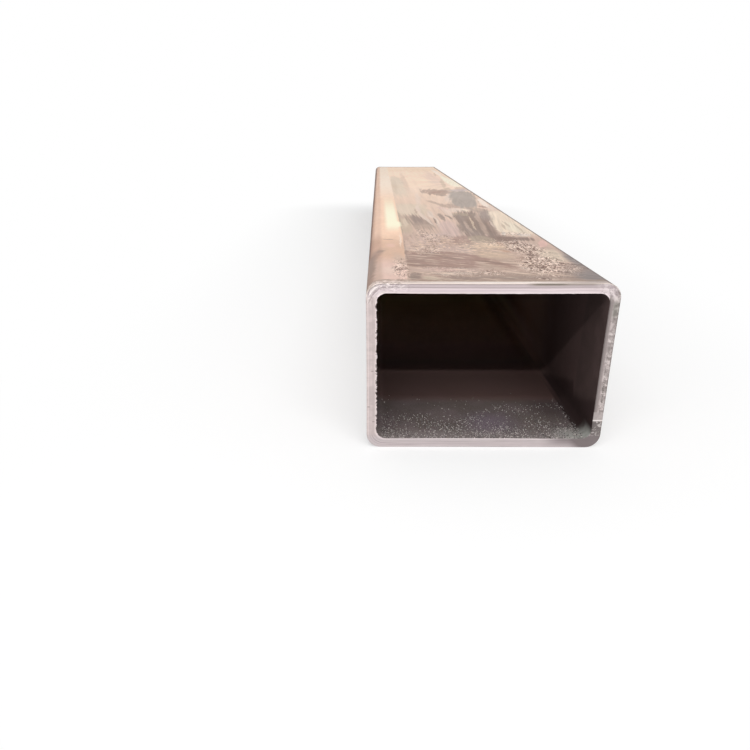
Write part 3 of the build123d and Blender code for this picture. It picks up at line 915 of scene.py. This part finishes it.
def sawn_finish(finish):
    """Bright sawn steel, with the blade's lines along the walls and lumps where it broke out."""
    material, bench, shader = new_finish("sawn_steel", {"Metallic": 0.3, "Specular IOR Level": 0.5})
    across, along, up = tube_place(bench)
    depth = own_value(bench, "depth")
    hollow = own_value(bench, "hollow")
    nick = own_value(bench, "nick")
    far_side = WIDTH / MM - across

    lines = bench.noise(bench.vector(depth / 0.7, along, (across + up) / 130.0), 3.0, 0.65)
    strokes = bench.noise(bench.vector(across / 130.0, along, up / 1.6), 2.0, 0.6)
    cloud = bench.noise(bench.vector(across / 26.0, along / 40.0, up / 12.0), 3.0, 0.6)
    blots = bench.noise(bench.vector(across / 4.2, along, up / 3.8), 3.0, 0.6, 0.7)
    lumps = bench.noise(bench.vector(across / 7.0, along, up / 9.0), 2.0, 0.5, 0.5)
    upper = bench.ramp(up, 226.0, 236.0)
    lower = bench.fall(up, 14.0, 24.0)

    # the side walls, with two slightly brighter bands
    colour = bench.mix(bench.ramp(cloud, 0.35, 0.65), tuple(finish.sawn_dark), tuple(finish.sawn_pale))
    bands = bench.between(depth, 1.8, 3.2, 0.6) + bench.between(depth, 12.4, 13.6, 0.5)
    colour = bench.mix(bands * 0.6, colour, tint(220, 207, 204))
    colour = bench.mix(bench.between(depth, 8.6, 10.4, 0.6) * 0.5, colour, tint(178, 164, 162))

    # the upper wall was cut in passes that follow its outline
    passed = bench.mix(bench.ramp(depth, 6.5, 7.3), tint(182, 168, 170), tint(210, 196, 198))
    passed = bench.mix(bench.between(depth, 9.0, 11.2, 0.5) * 0.7, passed, tint(196, 182, 184))
    colour = bench.mix(upper, colour, passed)
    marks = bench.between(depth, 1.2, 2.4, 0.3) + bench.between(depth, 5.7, 6.5, 0.3) * 0.7
    fading = bench.ramp(across, 170.0, 320.0, 1.0, 0.5)
    colour = bench.mix(marks * upper * fading * 0.8, colour, tint(148, 134, 133))
    # the outer edge of the upper wall is wiped pale, partly a painted highlight
    wiped_and_highlit = bench.fall(depth, 0.5, 1.1) * upper
    colour = bench.mix(wiped_and_highlit * 0.8, colour, tint(222, 208, 194))
    glints = bench.ramp(lines, 0.58, 0.66) * upper * bench.ramp(depth, 6.8, 7.6)
    colour = bench.mix(glints * 0.6, colour, tint(240, 228, 228))
    smear = bench.between(across, 224.0, 318.0, 9.0) * upper * bench.fall(depth, 0.6, 5.5)
    colour = bench.mix(smear * bench.straight(across, 220.0, 300.0, 1.0, 0.6),
                       colour, tint(140, 129, 118))
    blot = bench.between(across, 232.0, 272.0, 8.0) * upper * bench.between(depth, 0.5, 2.6, 0.5)
    colour = bench.mix(blot * 0.8, colour, tint(112, 104, 94))

    # the lower wall is a little duller, and streaked
    colour = bench.mix(lower * 0.8, colour, tint(186, 176, 177))
    streak = bench.fall(lines, 0.36, 0.43) * lower
    colour = bench.mix(streak * 0.65, colour, tint(138, 122, 126))

    # the wall that the saw left last: smooth and dull inside, lumpy and bright outside, where its lumps
    # get painted highlights and small painted shadows
    last = bench.fall(far_side, 14.4, 16.6) * bench.ramp(up, 226.0, 240.0, 1.0, 0.3)
    inner = bench.ramp(depth, 7.0, 11.0)
    outer = last * (1.0 - inner)
    colour = bench.mix(last * inner * 0.9, colour, tint(130, 120, 118))
    colour = bench.mix(outer * bench.between(up, 158.0, 196.0, 6.0) * 0.6, colour, tint(150, 140, 138))
    colour = bench.mix(outer * bench.fall(lumps, 0.45, 0.5) * 0.7, colour, tint(146, 136, 134))
    colour = bench.mix(outer * bench.ramp(lumps, 0.48, 0.56) * 0.75, colour, tint(190, 179, 176))
    colour = bench.mix(outer * bench.ramp(blots, 0.54, 0.62) * 0.6, colour, tint(210, 200, 197))
    colour = bench.mix(outer * bench.fall(blots, 0.36, 0.42) * 0.7, colour, tint(116, 108, 104))
    colour = bench.mix(outer * bench.between(up, 202.0, 224.0, 4.0) * 0.7, colour, tint(132, 130, 122))
    colour = bench.mix(last * bench.ramp(depth, 12.2, 13.4) * 0.8, colour, tint(104, 96, 94))
    gouges = bench.between(depth, 3.6, 6.6, 0.6) * bench.between(up, 56.0, 120.0, 6.0) * last
    colour = bench.mix(gouges * bench.fall(blots, 0.44, 0.5) * 0.8, colour, tint(84, 76, 74))
    # its hollows are painted darker, as painted shade
    colour = bench.mix(hollow * 0.6, colour, tint(116, 108, 104))
    colour = bench.mix(bench.ramp(depth, 0.4, 1.6, 0.75, 0.0) * last, colour, tint(118, 110, 107))
    step = last * bench.between(up, 45.0, 58.0, 1.5)
    colour = bench.mix(step * 0.85, colour, tint(168, 158, 156))
    low = bench.fall(up, 42.0, 44.5) * last
    colour = bench.mix(low * 0.9, colour, tint(102, 94, 92))
    colour = bench.mix(last * bench.between(up, 43.8, 45.6, 0.6) * 0.9, colour, tint(232, 224, 220))
    colour = bench.mix(low * bench.ramp(blots, 0.55, 0.6) * 0.75, colour, tint(194, 186, 183))
    colour = bench.mix(low * bench.fall(blots, 0.34, 0.42) * 0.7, colour, tint(78, 70, 68))

    # a bright line where the blade pressed the bore's edge over, partly a painted highlight on that edge,
    # and dark nicks in it
    rim = bench.between(depth, 12.9, 14.3, 0.35) * (1.0 - last)
    colour = bench.mix(rim * (0.3 + upper * 0.5), colour, tint(234, 222, 222))
    # towards the corner that the saw left last, the lower wall is smeared dark
    dulled = (bench.ramp(across, 256.0, 298.0) * lower
              * (bench.straight(depth, 0.0, 14.0, 0.15, 1.0) + bench.ramp(across, 300.0, 328.0)))
    colour = bench.mix(dulled * 0.9, colour, tint(118, 108, 108))
    colour = bench.mix(bench.ramp(nick, 0.3, 0.7) * 0.8, colour, tint(96, 86, 82))
    for place, height in SCORES:
        score = (bench.between(across, place - 2.0, place + 1.5, 1.0)
                 * bench.between(up, height - 0.6, height + 0.6, 0.5))
        colour = bench.mix(score * 0.8, colour, tint(120, 106, 102))
    # against the neighbour the upper left corner was bruised into short curled ridges
    curls = bench.noise(bench.vector(depth / 1.7, along, (across - up) / 9.0), 2.0, 0.6, 1.6)
    bruised = (bench.fall(across, 30.0, 74.0) * bench.ramp(up, 214.0, 232.0)
               * bench.ramp(depth, 6.0, 12.0, 1.0, 0.4))
    colour = bench.mix(bench.ramp(curls, 0.53, 0.6) * bruised * 0.9, colour, tint(240, 230, 226))
    colour = bench.mix(bench.fall(curls, 0.38, 0.46) * bruised * 0.75, colour, tint(120, 104, 98))
    # the corner at the other end of the upper wall is bruised too, in round lumps
    bruised = bench.fall(far_side, 16.0, 44.0) * bench.ramp(up, 220.0, 236.0)
    colour = bench.mix(bench.ramp(lumps, 0.48, 0.58) * bruised * 0.4, colour, tint(228, 218, 216))
    colour = bench.mix(bench.fall(blots, 0.37, 0.45) * bruised * 0.6, colour, tint(138, 128, 124))
    across_lines = bench.straight(lines, 0.3, 0.7, -1.0, 1.0) * (0.055 + (upper + lower) * 0.03) + 1.0
    colour = shade(bench, colour, across_lines, bench.straight(strokes, 0.3, 0.7, 0.97, 1.03))
    bench.fill(shader.inputs["Base Color"], colour)
    bench.fill(shader.inputs["Roughness"], bench.straight(lines, 0.3, 0.7, 0.42, 0.6))
    bump = bench.put("ShaderNodeBump", inputs={
        "Strength": 0.45, "Distance": 0.25 * MM, "Height": lines * 0.5 + strokes * 0.2 + blots * 0.4})
    bench.fill(shader.inputs["Normal"], bump)
    return material


def bore_finish(finish):
    """Dark, matt scale that no weather reached, with grey dust on the floor near each mouth."""
    material, bench, shader = new_finish("bore_scale", {"Specular IOR Level": 0.15})
    across, along, up = tube_place(bench)
    cloud = bench.noise(bench.vector(across / 60.0, along / 60.0, up / 60.0), 4.0, 0.6)
    speck = bench.noise(bench.vector(across / 1.6, along / 1.9, up / 1.6), 1.5, 0.6)
    drift = bench.noise(bench.vector(across / 30.0, along / 22.0, up / 30.0), 3.0, 0.6)
    from_mouth = bench.math("MINIMUM", along, LENGTH / MM - along)

    walls = bench.mix(bench.ramp(cloud, 0.35, 0.65), tuple(finish.bore_dark), tuple(finish.bore_pale))
    # about 100 mm in from each mouth the walls change colour, a painted step in light and shade; further
    # in they turn paler and warmer, partly rust and partly painted light, and the floor pales most
    # towards the middle
    walls = bench.mix(bench.ramp(from_mouth + (cloud - 0.5) * 20.0, 92.0, 104.0), walls, tint(82, 66, 64))
    deep_floor_painted_light = bench.mix(bench.straight(from_mouth, 420.0, 880.0),
                           tint(190, 158, 148), tint(250, 230, 194))
    off_floor = bench.math("MAXIMUM", bench.straight(up, 15.0, 70.0),
                           bench.ramp(across, 290.0, 322.0, 0.0, 0.5))
    deep_rust_and_painted_light = bench.mix(off_floor, deep_floor_painted_light, tint(162, 129, 113))
    walls = bench.mix(bench.ramp(from_mouth, 240.0, 480.0), walls, deep_rust_and_painted_light)
    # a painted shadow darkens the foot of the side walls, reaching highest a little way in
    first = (bench.straight(from_mouth, 10.0, 110.0, 72.0, 36.0)
             * bench.fall(from_mouth, 96.0, 116.0))
    second = (bench.straight(from_mouth, 100.0, 400.0, 66.0, -25.0)
              * bench.ramp(from_mouth, 88.0, 112.0))
    foot = bench.math("MAXIMUM", first, second) + (drift - 0.5) * 14.0
    walls = bench.mix(bench.ramp(up - foot, -6.0, 8.0, 0.8, 0.0), walls, tint(50, 37, 37))
    # the floor, and the turn of the left corner, where dust lies too
    left_turn = bench.fall(across, 28.0, 34.0) * bench.fall(up, 17.0, 34.0)
    floor = bench.math("MAXIMUM", bench.fall(up, 15.0, 17.0), left_turn)
    dust = floor * bench.straight(from_mouth, 0.0, 620.0, 1.0, 0.0)
    dust_colour = bench.mix(bench.ramp(cloud, 0.38, 0.62), tint(100, 91, 87), tint(112, 100, 100))
    # the floor beside the right wall is painted darker as the wall's shadow
    dust_colour = bench.mix(bench.ramp(across, 250.0, 300.0) * bench.ramp(from_mouth, 60.0, 110.0) * 0.6,
                            dust_colour, tint(78, 64, 66))
    dust_colour = bench.mix(bench.between(from_mouth, 150.0, 330.0, 20.0) * 0.7,
                            dust_colour, tint(136, 106, 100))
    violet = bench.between(across, 160.0, 230.0, 26.0) * bench.between(along, 10.0, 90.0, 24.0)
    dust_colour = bench.mix(violet * 0.4, dust_colour, tint(120, 106, 126))
    dust_colour = bench.mix(bench.ramp(from_mouth, 6.0, 44.0, 0.8, 0.0),
                            dust_colour, tint(134, 124, 122))
    colour = bench.mix(dust, walls, dust_colour)
    thick = (floor * bench.straight(from_mouth, 0.0, 165.0, 1.0, 0.0)
             * bench.ramp(drift, 0.3, 0.6, 0.3, 1.0))
    colour = bench.mix(bench.ramp(speck, 0.56, 0.64) * thick * 0.6, colour, tint(176, 166, 164))
    colour = bench.mix(bench.fall(speck, 0.34, 0.42) * thick * 0.6, colour, tint(62, 52, 52))
    # the turn of the right corner is painted dark over the first stretch
    right_turn = (bench.ramp(across, 320.0, 324.0) * bench.fall(up, 30.0, 62.0)
                  * bench.fall(from_mouth, 90.0, 300.0))
    colour = bench.mix(right_turn * 0.9, colour, tint(48, 36, 35))
    # fine pale dust blown into the lower corner at the near mouth
    heap = (bench.ramp(across, 272.0, 310.0) * bench.fall(along, 12.0, 46.0)
            * bench.fall(up, 18.0, 34.0) * bench.ramp(drift, 0.3, 0.55, 0.4, 1.0))
    colour = bench.mix(heap * 0.8, colour, tint(178, 179, 173))
    bench.fill(shader.inputs["Base Color"], colour)
    bench.fill(shader.inputs["Roughness"], bench.straight(cloud, 0.3, 0.7, 0.65, 0.85))
    relief = speck * bench.fall(from_mouth, 150.0, 420.0)
    bump = bench.put("ShaderNodeBump", inputs={"Strength": 0.4, "Distance": 0.4 * MM, "Height": relief})
    bench.fill(shader.inputs["Normal"], bump)
    return material


GRAIN_MOTTLE = 0.6 * MM


def swarf_finish(finish):
    """Saw dust and chips, each as bright as its own tone."""
    material, bench, shader = new_finish("saw_swarf", {"Metallic": 0.3, "Roughness": 0.45})
    tone = own_value(bench, "tone")
    place = bench.parts(bench.put("ShaderNodeTexCoord", pick=3))
    mottle = bench.noise(bench.vector(*(part / GRAIN_MOTTLE for part in place)), 1.0)
    colour = bench.mix(tone, tuple(finish.swarf_dark), tuple(finish.swarf_bright))
    colour = bench.mix(bench.ramp(mottle, 0.45, 0.7) * 0.4, colour, tint(120, 112, 110))
    bench.fill(shader.inputs["Base Color"], colour)
    return material


# ---------------------------------------------------------------------------------------------
# Swarf on the bore's floor
# ---------------------------------------------------------------------------------------------

SWARF_START = MM            # how far in from the mouth the first grains lie
SWARF_MARGIN = 6 * MM       # bare floor beside the bore's walls
DRIFTS_A_METRE = 22.0       # how closely thick and thin places follow each other
GRAIN_LIFT = 0.9 * MM       # height of a grain's middle above the bore's floor
# Each end's piece, its side, its grains for each square metre where they lie thickest, and its seed
SWARF_PIECES = (
    ("swarf_near", -1.0, 230000.0, 3),
    ("swarf_far", 1.0, 70000.0, 8),
)


def swarf_tree():
    """Saw dust strewn over the bore's floor, thick at the mouth and thinning inwards."""
    bench, given = geometry_tree("saw_swarf", {
        "Mouth": NEAR_END, "Inward": 1.0, "Floor": WALL + GRAIN_LIFT,
        "Half Width": WIDTH / 2 - WALL - SWARF_MARGIN, "Reach": 0.18, "Thickness": 90000.0,
        "Fade": 0.03, "Clusters": 0.3, "Grain": 1.5 * MM, "Seed": 3,
    }, ["Swarf Finish"])
    plane = bench.put("GeometryNodeMeshGrid", given["Half Width"] * 2.0, given["Reach"], 24, 60)
    x, y, _ = bench.parts(bench.put("GeometryNodeInputPosition"))
    inward = y + given["Reach"] / 2.0
    place = bench.vector(x, given["Mouth"] + (inward + SWARF_START) * given["Inward"], given["Floor"])
    laid = bench.put("GeometryNodeSetPosition", plane, None, place)
    x, y, _ = bench.parts(bench.put("GeometryNodeInputPosition"))
    depth = bench.size(y - given["Mouth"])
    drift = bench.noise(bench.vector(x * DRIFTS_A_METRE, depth * DRIFTS_A_METRE, given["Seed"]), 3.0, 0.6)
    # a thick fringe along the mouth, and clusters further in
    fringe = bench.math("EXPONENT", -depth / given["Fade"]) * bench.ramp(drift, 0.4, 0.6, 0.25, 1.7)
    clusters = (bench.ramp(drift, 0.5, 0.62) * bench.fall(depth, given["Fade"], given["Reach"])
                * bench.straight(x, -0.1, 0.1, 0.5, 1.6) * given["Clusters"])
    thick = (fringe + clusters) * given["Thickness"]
    points = bench.put("GeometryNodeDistributePointsOnFaces", inputs={
        "Mesh": laid, "Density": thick, "Seed": given["Seed"]}, distribute_method="RANDOM")
    grain = bench.put("GeometryNodeMeshIcoSphere", given["Grain"] / 2.0, 1)

    def random(low, high, seed, kind="FLOAT"):
        return bench.put("FunctionNodeRandomValue", data_type=kind,
                         pick=0 if kind == "FLOAT_VECTOR" else 1,
                         inputs={"Min": low, "Max": high, "Seed": seed})
    turn = random((0, 0, 0), (0.5, 0.5, 2 * math.pi), 5, "FLOAT_VECTOR")
    stretch = random((0.55, 0.55, 0.45), (1.5, 1.5, 1.1), 9, "FLOAT_VECTOR")
    strewn = bench.put("GeometryNodeInstanceOnPoints", inputs={
        "Points": points, "Instance": grain, "Rotation": turn, "Scale": stretch})
    tone = random(0.0, 1.0, 11)
    strewn = bench.put("GeometryNodeStoreNamedAttribute", strewn, None, "tone",
                       bench.math("POWER", tone, 1.5), data_type="FLOAT", domain="INSTANCE")
    return close_geometry(bench, strewn, (None, given["Swarf Finish"]))


# ---------------------------------------------------------------------------------------------
# Operators
# ---------------------------------------------------------------------------------------------

def finish_named(name, maker, context):
    """The finish of that name, made the first time it is asked for."""
    return bpy.data.materials.get(name) or maker(context.scene.yard_colours)


class YARD_OT_roll_tube(Operator):
    """Make the tube's skin, with its rolled corners, sawn ends and worn edges"""
    bl_idname = "yard.roll_tube"
    bl_label = "Roll Tube"

    def execute(self, context):
        sizes = context.scene.yard_sizes
        relief = context.scene.yard_relief
        tube = plain_mesh("tube_skin", rolled_section_tree(), {
            "Width": sizes.width, "Height": sizes.height, "Length": sizes.length, "Wall": sizes.wall,
            "Outer Radius": sizes.outer_radius, "Inner Radius": sizes.inner_radius,
            "Edge Wear": relief.edge_wear, "Face Hollow": relief.face_hollow,
            "Waviness": relief.waviness, "Saw Pitch": relief.saw_pitch, "Saw Depth": relief.saw_depth,
            "Chip Depth": relief.chip_depth, "Burr": relief.burr, "Breakout": relief.breakout,
            "Seed": relief.seed,
            "Scale Finish": finish_named("mill_scale", mill_scale_finish, context),
            "Bore Finish": finish_named("bore_scale", bore_finish, context),
            "Sawn Finish": finish_named("sawn_steel", sawn_finish, context)})
        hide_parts("tube")
        return {"FINISHED"}


class YARD_OT_strew_swarf(Operator):
    """Strew the saw's dust over the bore's floor at both mouths"""
    bl_idname = "yard.strew_swarf"
    bl_label = "Strew Swarf"

    def execute(self, context):
        sizes = context.scene.yard_sizes
        tree = swarf_tree()
        finish = finish_named("saw_swarf", swarf_finish, context)
        for name, side, thickness, seed in SWARF_PIECES:
            plain_mesh(name, tree, {
                "Mouth": side * sizes.length / 2, "Inward": -side, "Floor": sizes.wall + GRAIN_LIFT,
                "Half Width": sizes.width / 2 - sizes.wall - SWARF_MARGIN,
                "Thickness": thickness, "Seed": seed, "Swarf Finish": finish})
        return {"FINISHED"}


PLAIN_WHITE = (1.0, 1.0, 1.0, 1.0)
FLOOR_SIZE = 40.0
FLOOR_WHITE = 0.98      # the share of light that the floor gives back
SHADOW_REACH = 0.7      # metres from the tube at which the floor has turned plain white
STRIP_DISTANCE = 6.0    # metres from the near mouth's upper edge
STRIP_POWER = 44.4      # watts for each metre of strip, at a level of 1
CAMERA_PLACE = (-0.15769, -2.35341, 0.44137)
CAMERA_TILT = 22.66     # degrees down from level
CAMERA_PAN = 0.314      # degrees to the left of the tube's own direction
CAMERA_LENS = 30.40     # millimetres, on a sensor that is 36 mm wide
CAMERA_SENSOR = 36.0
CAMERA_SHIFT = 0.0267   # shares of the picture's width that the view is moved up
CAMERA_NEAREST = 0.05   # metres before the camera at which things begin to show


class YARD_OT_set_stage(Operator):
    """Set up the floor, the lamps, the background and the camera"""
    bl_idname = "yard.set_stage"
    bl_label = "Set Stage"

    def execute(self, context):
        studio = context.scene.yard_studio
        light_world(context.scene, studio.dome)
        lay_floor()
        hang_strip("low_strip", studio.low_strip, elevation=36.9, left=-14.0, right=4.0, width=0.16)
        hang_strip("high_strip", studio.high_strip, elevation=55.4, left=-4.0, right=4.0, width=0.6)
        place_camera(context.scene)
        context.scene.view_settings.view_transform = "Standard"
        return {"FINISHED"}


def seen_rays(bench):
    """1 for rays from the camera and those that a shine or clear stuff passes on, and 0 for the rest."""
    path = bench.tree.nodes.new("ShaderNodeLightPath")
    camera, glossy, clear = (Wire(bench, path.outputs[ray])
                             for ray in ("Is Camera Ray", "Is Glossy Ray", "Is Transmission Ray"))
    return bench.math("MAXIMUM", bench.math("MAXIMUM", camera, glossy), clear)


def light_world(scene, dome):
    """A dome that lights at its own level, and looks plain white to the camera and in reflections."""
    world = bpy.data.worlds.new("studio_dome")
    world.use_nodes = True
    world.node_tree.nodes.clear()
    bench = Bench(world.node_tree)
    strength = bench.straight(seen_rays(bench), 0.0, 1.0, dome, 1.0)
    glow = bench.put("ShaderNodeBackground", PLAIN_WHITE, strength)
    sink = world.node_tree.nodes.new("ShaderNodeOutputWorld")
    bench.fill(sink.inputs["Surface"], glow)
    scene.world = world


def lay_floor():
    """A pale floor that keeps the tube's shadow, and turns plain white away from it."""
    half = FLOOR_SIZE / 2
    mesh = bpy.data.meshes.new("floor")
    mesh.from_pydata([(-half, -half, 0), (half, -half, 0), (half, half, 0), (-half, half, 0)], [],
                     [(0, 1, 2, 3)])
    floor = bpy.data.objects.new("floor", mesh)
    bpy.context.scene.collection.objects.link(floor)
    material = bpy.data.materials.new("studio_floor")
    material.use_nodes = True
    tree = material.node_tree
    tree.nodes.clear()
    bench = Bench(tree)
    x, y, _ = bench.parts(bench.put("ShaderNodeTexCoord", pick=3))
    beside = bench.math("MAXIMUM", bench.size(x) - WIDTH / 2, 0.0)
    beyond = bench.math("MAXIMUM", bench.size(y) - LENGTH / 2, 0.0)
    away = bench.math("SQRT", beside * beside + beyond * beyond)
    matt = bench.put("ShaderNodeBsdfDiffuse", (FLOOR_WHITE, FLOOR_WHITE, FLOOR_WHITE, 1.0))
    white = bench.put("ShaderNodeEmission", PLAIN_WHITE, 1.0)
    share = seen_rays(bench) * bench.ramp(away, 0.0, SHADOW_REACH, 0.45, 1.0)
    face = bench.put("ShaderNodeMixShader", share, matt, white)
    sink = tree.nodes.new("ShaderNodeOutputMaterial")
    bench.fill(sink.inputs["Surface"], face)
    mesh.materials.append(material)


def hang_strip(name, level, elevation, left, right, width):
    """A long soft strip lamp before the near mouth, square to the tube, that faces its upper edge.

    The elevation is in degrees. Its left and right ends are that many metres across from the tube's
    middle. A narrow strip casts a crisp shadow and a wide one a soft shadow.
    """
    target = Vector((0.0, NEAR_END, HEIGHT - WALL))
    rise = math.radians(elevation)
    away = Vector((0.0, -math.cos(rise), math.sin(rise)))
    lamp = bpy.data.lights.new(name, "AREA")
    lamp.shape = "RECTANGLE"
    lamp.size = right - left
    lamp.size_y = width
    lamp.energy = level * STRIP_POWER * (right - left)
    holder = bpy.data.objects.new(name, lamp)
    turn = away.to_track_quat("Z", "Y").to_matrix().to_4x4()
    middle = Vector(((left + right) / 2, 0.0, 0.0))
    holder.matrix_world = Matrix.Translation(target + middle + away * STRIP_DISTANCE) @ turn
    bpy.context.scene.collection.objects.link(holder)


def place_camera(scene):
    """The camera stands before the near end, a little above the top and near the left side's line."""
    camera = bpy.data.cameras.new("camera")
    camera.lens = CAMERA_LENS
    camera.sensor_width = CAMERA_SENSOR
    camera.shift_y = CAMERA_SHIFT
    camera.clip_start = CAMERA_NEAREST
    holder = bpy.data.objects.new("camera", camera)
    turn = (Matrix.Rotation(math.radians(CAMERA_PAN), 4, "Z")
            @ Matrix.Rotation(math.radians(90.0 - CAMERA_TILT), 4, "X"))
    holder.matrix_world = Matrix.Translation(CAMERA_PLACE) @ turn
    scene.collection.objects.link(holder)
    scene.camera = holder


class YARD_PT_sections(Panel):
    """Section Yard in the 3D view's sidebar"""
    bl_idname = "YARD_PT_sections"
    bl_label = "Section Yard"
    bl_space_type = "VIEW_3D"
    bl_region_type = "UI"
    bl_category = "Section Yard"

    def draw(self, context):
        for step in STEPS:
            self.layout.operator(step.bl_idname)
        for name, group in GROUPS.items():
            for setting in group.__annotations__:
                self.layout.prop(getattr(context.scene, name), setting)


GROUPS = {"yard_sizes": SectionSizes, "yard_relief": SurfaceRelief,
          "yard_colours": FinishColours, "yard_studio": StudioLight}
STEPS = (YARD_OT_roll_tube, YARD_OT_strew_swarf, YARD_OT_set_stage)
CLASSES = (*GROUPS.values(), *STEPS, YARD_PT_sections)


def register():
    for piece in CLASSES:
        bpy.utils.register_class(piece)
    for name, group in GROUPS.items():
        setattr(bpy.types.Scene, name, PointerProperty(type=group))


def unregister():
    for name in GROUPS:
        delattr(bpy.types.Scene, name)
    for piece in reversed(CLASSES):
        bpy.utils.unregister_class(piece)


def main():
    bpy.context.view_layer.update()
    register()
    bpy.ops.yard.roll_tube()
    bpy.ops.yard.strew_swarf()
    bpy.ops.yard.set_stage()


if __name__ == "__main__":
    main()
